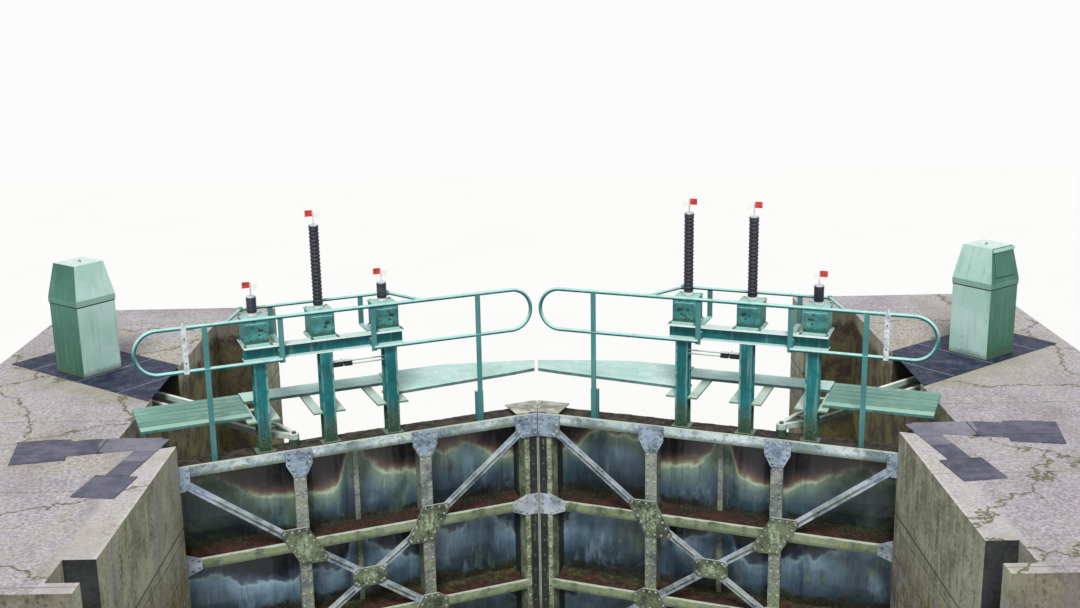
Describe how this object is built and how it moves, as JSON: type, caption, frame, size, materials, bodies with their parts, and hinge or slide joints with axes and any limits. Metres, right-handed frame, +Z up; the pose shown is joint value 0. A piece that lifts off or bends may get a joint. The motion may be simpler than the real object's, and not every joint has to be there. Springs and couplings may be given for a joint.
{
  "type": "canal lock head with steel mitre gates",
  "caption": "Lock head with riveted steel mitre leaves, screw-lifted paddles under bellows, walkways, hand rails and operating struts.",
  "frame": {"origin": "middle of the flat base under the lock floor", "axes": "+X across the lock to the right when looking upstream, +Y upstream, +Z up"},
  "size_m": [14, 9.353, 9.145],
  "materials": {
    "concrete": "rough",
    "hinge_steel": "worn",
    "chequer_plate": "matte",
    "mint_paint": "satin",
    "walkway_paint": "weathered",
    "teal_paint": "satin",
    "frame_paint": "weathered",
    "skin_paint": "weathered",
    "paddle_steel": "weathered",
    "bellows_rubber": "matte"
  },
  "bodies": {
    "lock_head": {"lock_floor": "concrete", "left_downstream_pier": "concrete", "left_recess_wall": "concrete", "left_upstream_pier": "concrete", "right_downstream_pier": "concrete", "right_recess_wall": "concrete", "right_upstream_pier": "concrete", "pintles": "hinge_steel", "collars": "hinge_steel", "anchor_plates": "chequer_plate", "pit_covers": "chequer_plate", "cabinets": "mint_paint"},
    "left_leaf": {"left_heel_post": "frame_paint", "left_mitre_post": "frame_paint", "left_rails": "frame_paint", "left_uprights": "frame_paint", "left_bracing": "frame_paint", "left_skin": "skin_paint", "left_paddle_guides": "frame_paint", "left_walkway": "walkway_paint", "left_brackets": "mint_paint", "left_handrail": "teal_paint", "left_gear_frame": "teal_paint", "left_gear_boxes": "mint_paint", "left_bellows_1": "bellows_rubber", "left_bellows_2": "bellows_rubber", "left_bellows_3": "bellows_rubber"},
    "left_paddle_body_1": {"left_paddle_1": "paddle_steel"},
    "left_paddle_body_2": {"left_paddle_2": "paddle_steel"},
    "left_paddle_body_3": {"left_paddle_3": "paddle_steel"},
    "left_strut_body": {"left_strut": "mint_paint"},
    "right_leaf": {"right_heel_post": "frame_paint", "right_mitre_post": "frame_paint", "right_rails": "frame_paint", "right_uprights": "frame_paint", "right_bracing": "frame_paint", "right_skin": "skin_paint", "right_paddle_guides": "frame_paint", "right_walkway": "walkway_paint", "right_brackets": "mint_paint", "right_handrail": "teal_paint", "right_gear_frame": "teal_paint", "right_gear_boxes": "mint_paint", "right_bellows_1": "bellows_rubber", "right_bellows_2": "bellows_rubber", "right_bellows_3": "bellows_rubber"},
    "right_paddle_body_1": {"right_paddle_1": "paddle_steel"},
    "right_paddle_body_2": {"right_paddle_2": "paddle_steel"},
    "right_paddle_body_3": {"right_paddle_3": "paddle_steel"},
    "right_strut_body": {"right_strut": "mint_paint"}
  },
  "joints": [
    {"name": "left_leaf_swing", "type": "hinge", "parent": "lock_head", "child": "left_leaf", "pos_m": [-4.15, -1.0765, 0.6], "axis": [0, 0, 1], "range_deg": [0, 68]},
    {"name": "left_strut_turn", "type": "hinge", "parent": "left_leaf", "child": "left_strut_body", "pos_m": [-2.77992, -0.43667, 6.6], "axis": [0, 0, 1], "range_deg": [-72.5, 0]},
    {"name": "left_paddle_lift_1", "type": "slide", "parent": "left_leaf", "child": "left_paddle_body_1", "axis": [0, 0, 1], "range_m": [0, 0.74], "deforming": ["left_bellows_1"]},
    {"name": "left_paddle_lift_2", "type": "slide", "parent": "left_leaf", "child": "left_paddle_body_2", "axis": [0, 0, 1], "range_m": [-0.74, 0], "deforming": ["left_bellows_2"]},
    {"name": "left_paddle_lift_3", "type": "slide", "parent": "left_leaf", "child": "left_paddle_body_3", "axis": [0, 0, 1], "range_m": [0, 0.74], "deforming": ["left_bellows_3"]},
    {"name": "right_leaf_swing", "type": "hinge", "parent": "lock_head", "child": "right_leaf", "pos_m": [4.15, -1.0765, 0.6], "axis": [0, 0, -1], "range_deg": [0, 68]},
    {"name": "right_strut_turn", "type": "hinge", "parent": "right_leaf", "child": "right_strut_body", "pos_m": [2.77992, -0.43667, 6.6], "axis": [0, 0, -1], "range_deg": [-72.5, 0]},
    {"name": "right_paddle_lift_1", "type": "slide", "parent": "right_leaf", "child": "right_paddle_body_1", "axis": [0, 0, 1], "range_m": [0, 0.74], "deforming": ["right_bellows_1"]},
    {"name": "right_paddle_lift_2", "type": "slide", "parent": "right_leaf", "child": "right_paddle_body_2", "axis": [0, 0, 1], "range_m": [-0.74, 0], "deforming": ["right_bellows_2"]},
    {"name": "right_paddle_lift_3", "type": "slide", "parent": "right_leaf", "child": "right_paddle_body_3", "axis": [0, 0, 1], "range_m": [-0.74, 0], "deforming": ["right_bellows_3"]}
  ],
  "couplings": [
    {"joint": "left_strut_turn", "follows": "left_leaf_swing", "ratio": -1.0662},
    {"joint": "right_strut_turn", "follows": "right_leaf_swing", "ratio": -1.0662}
  ]
}
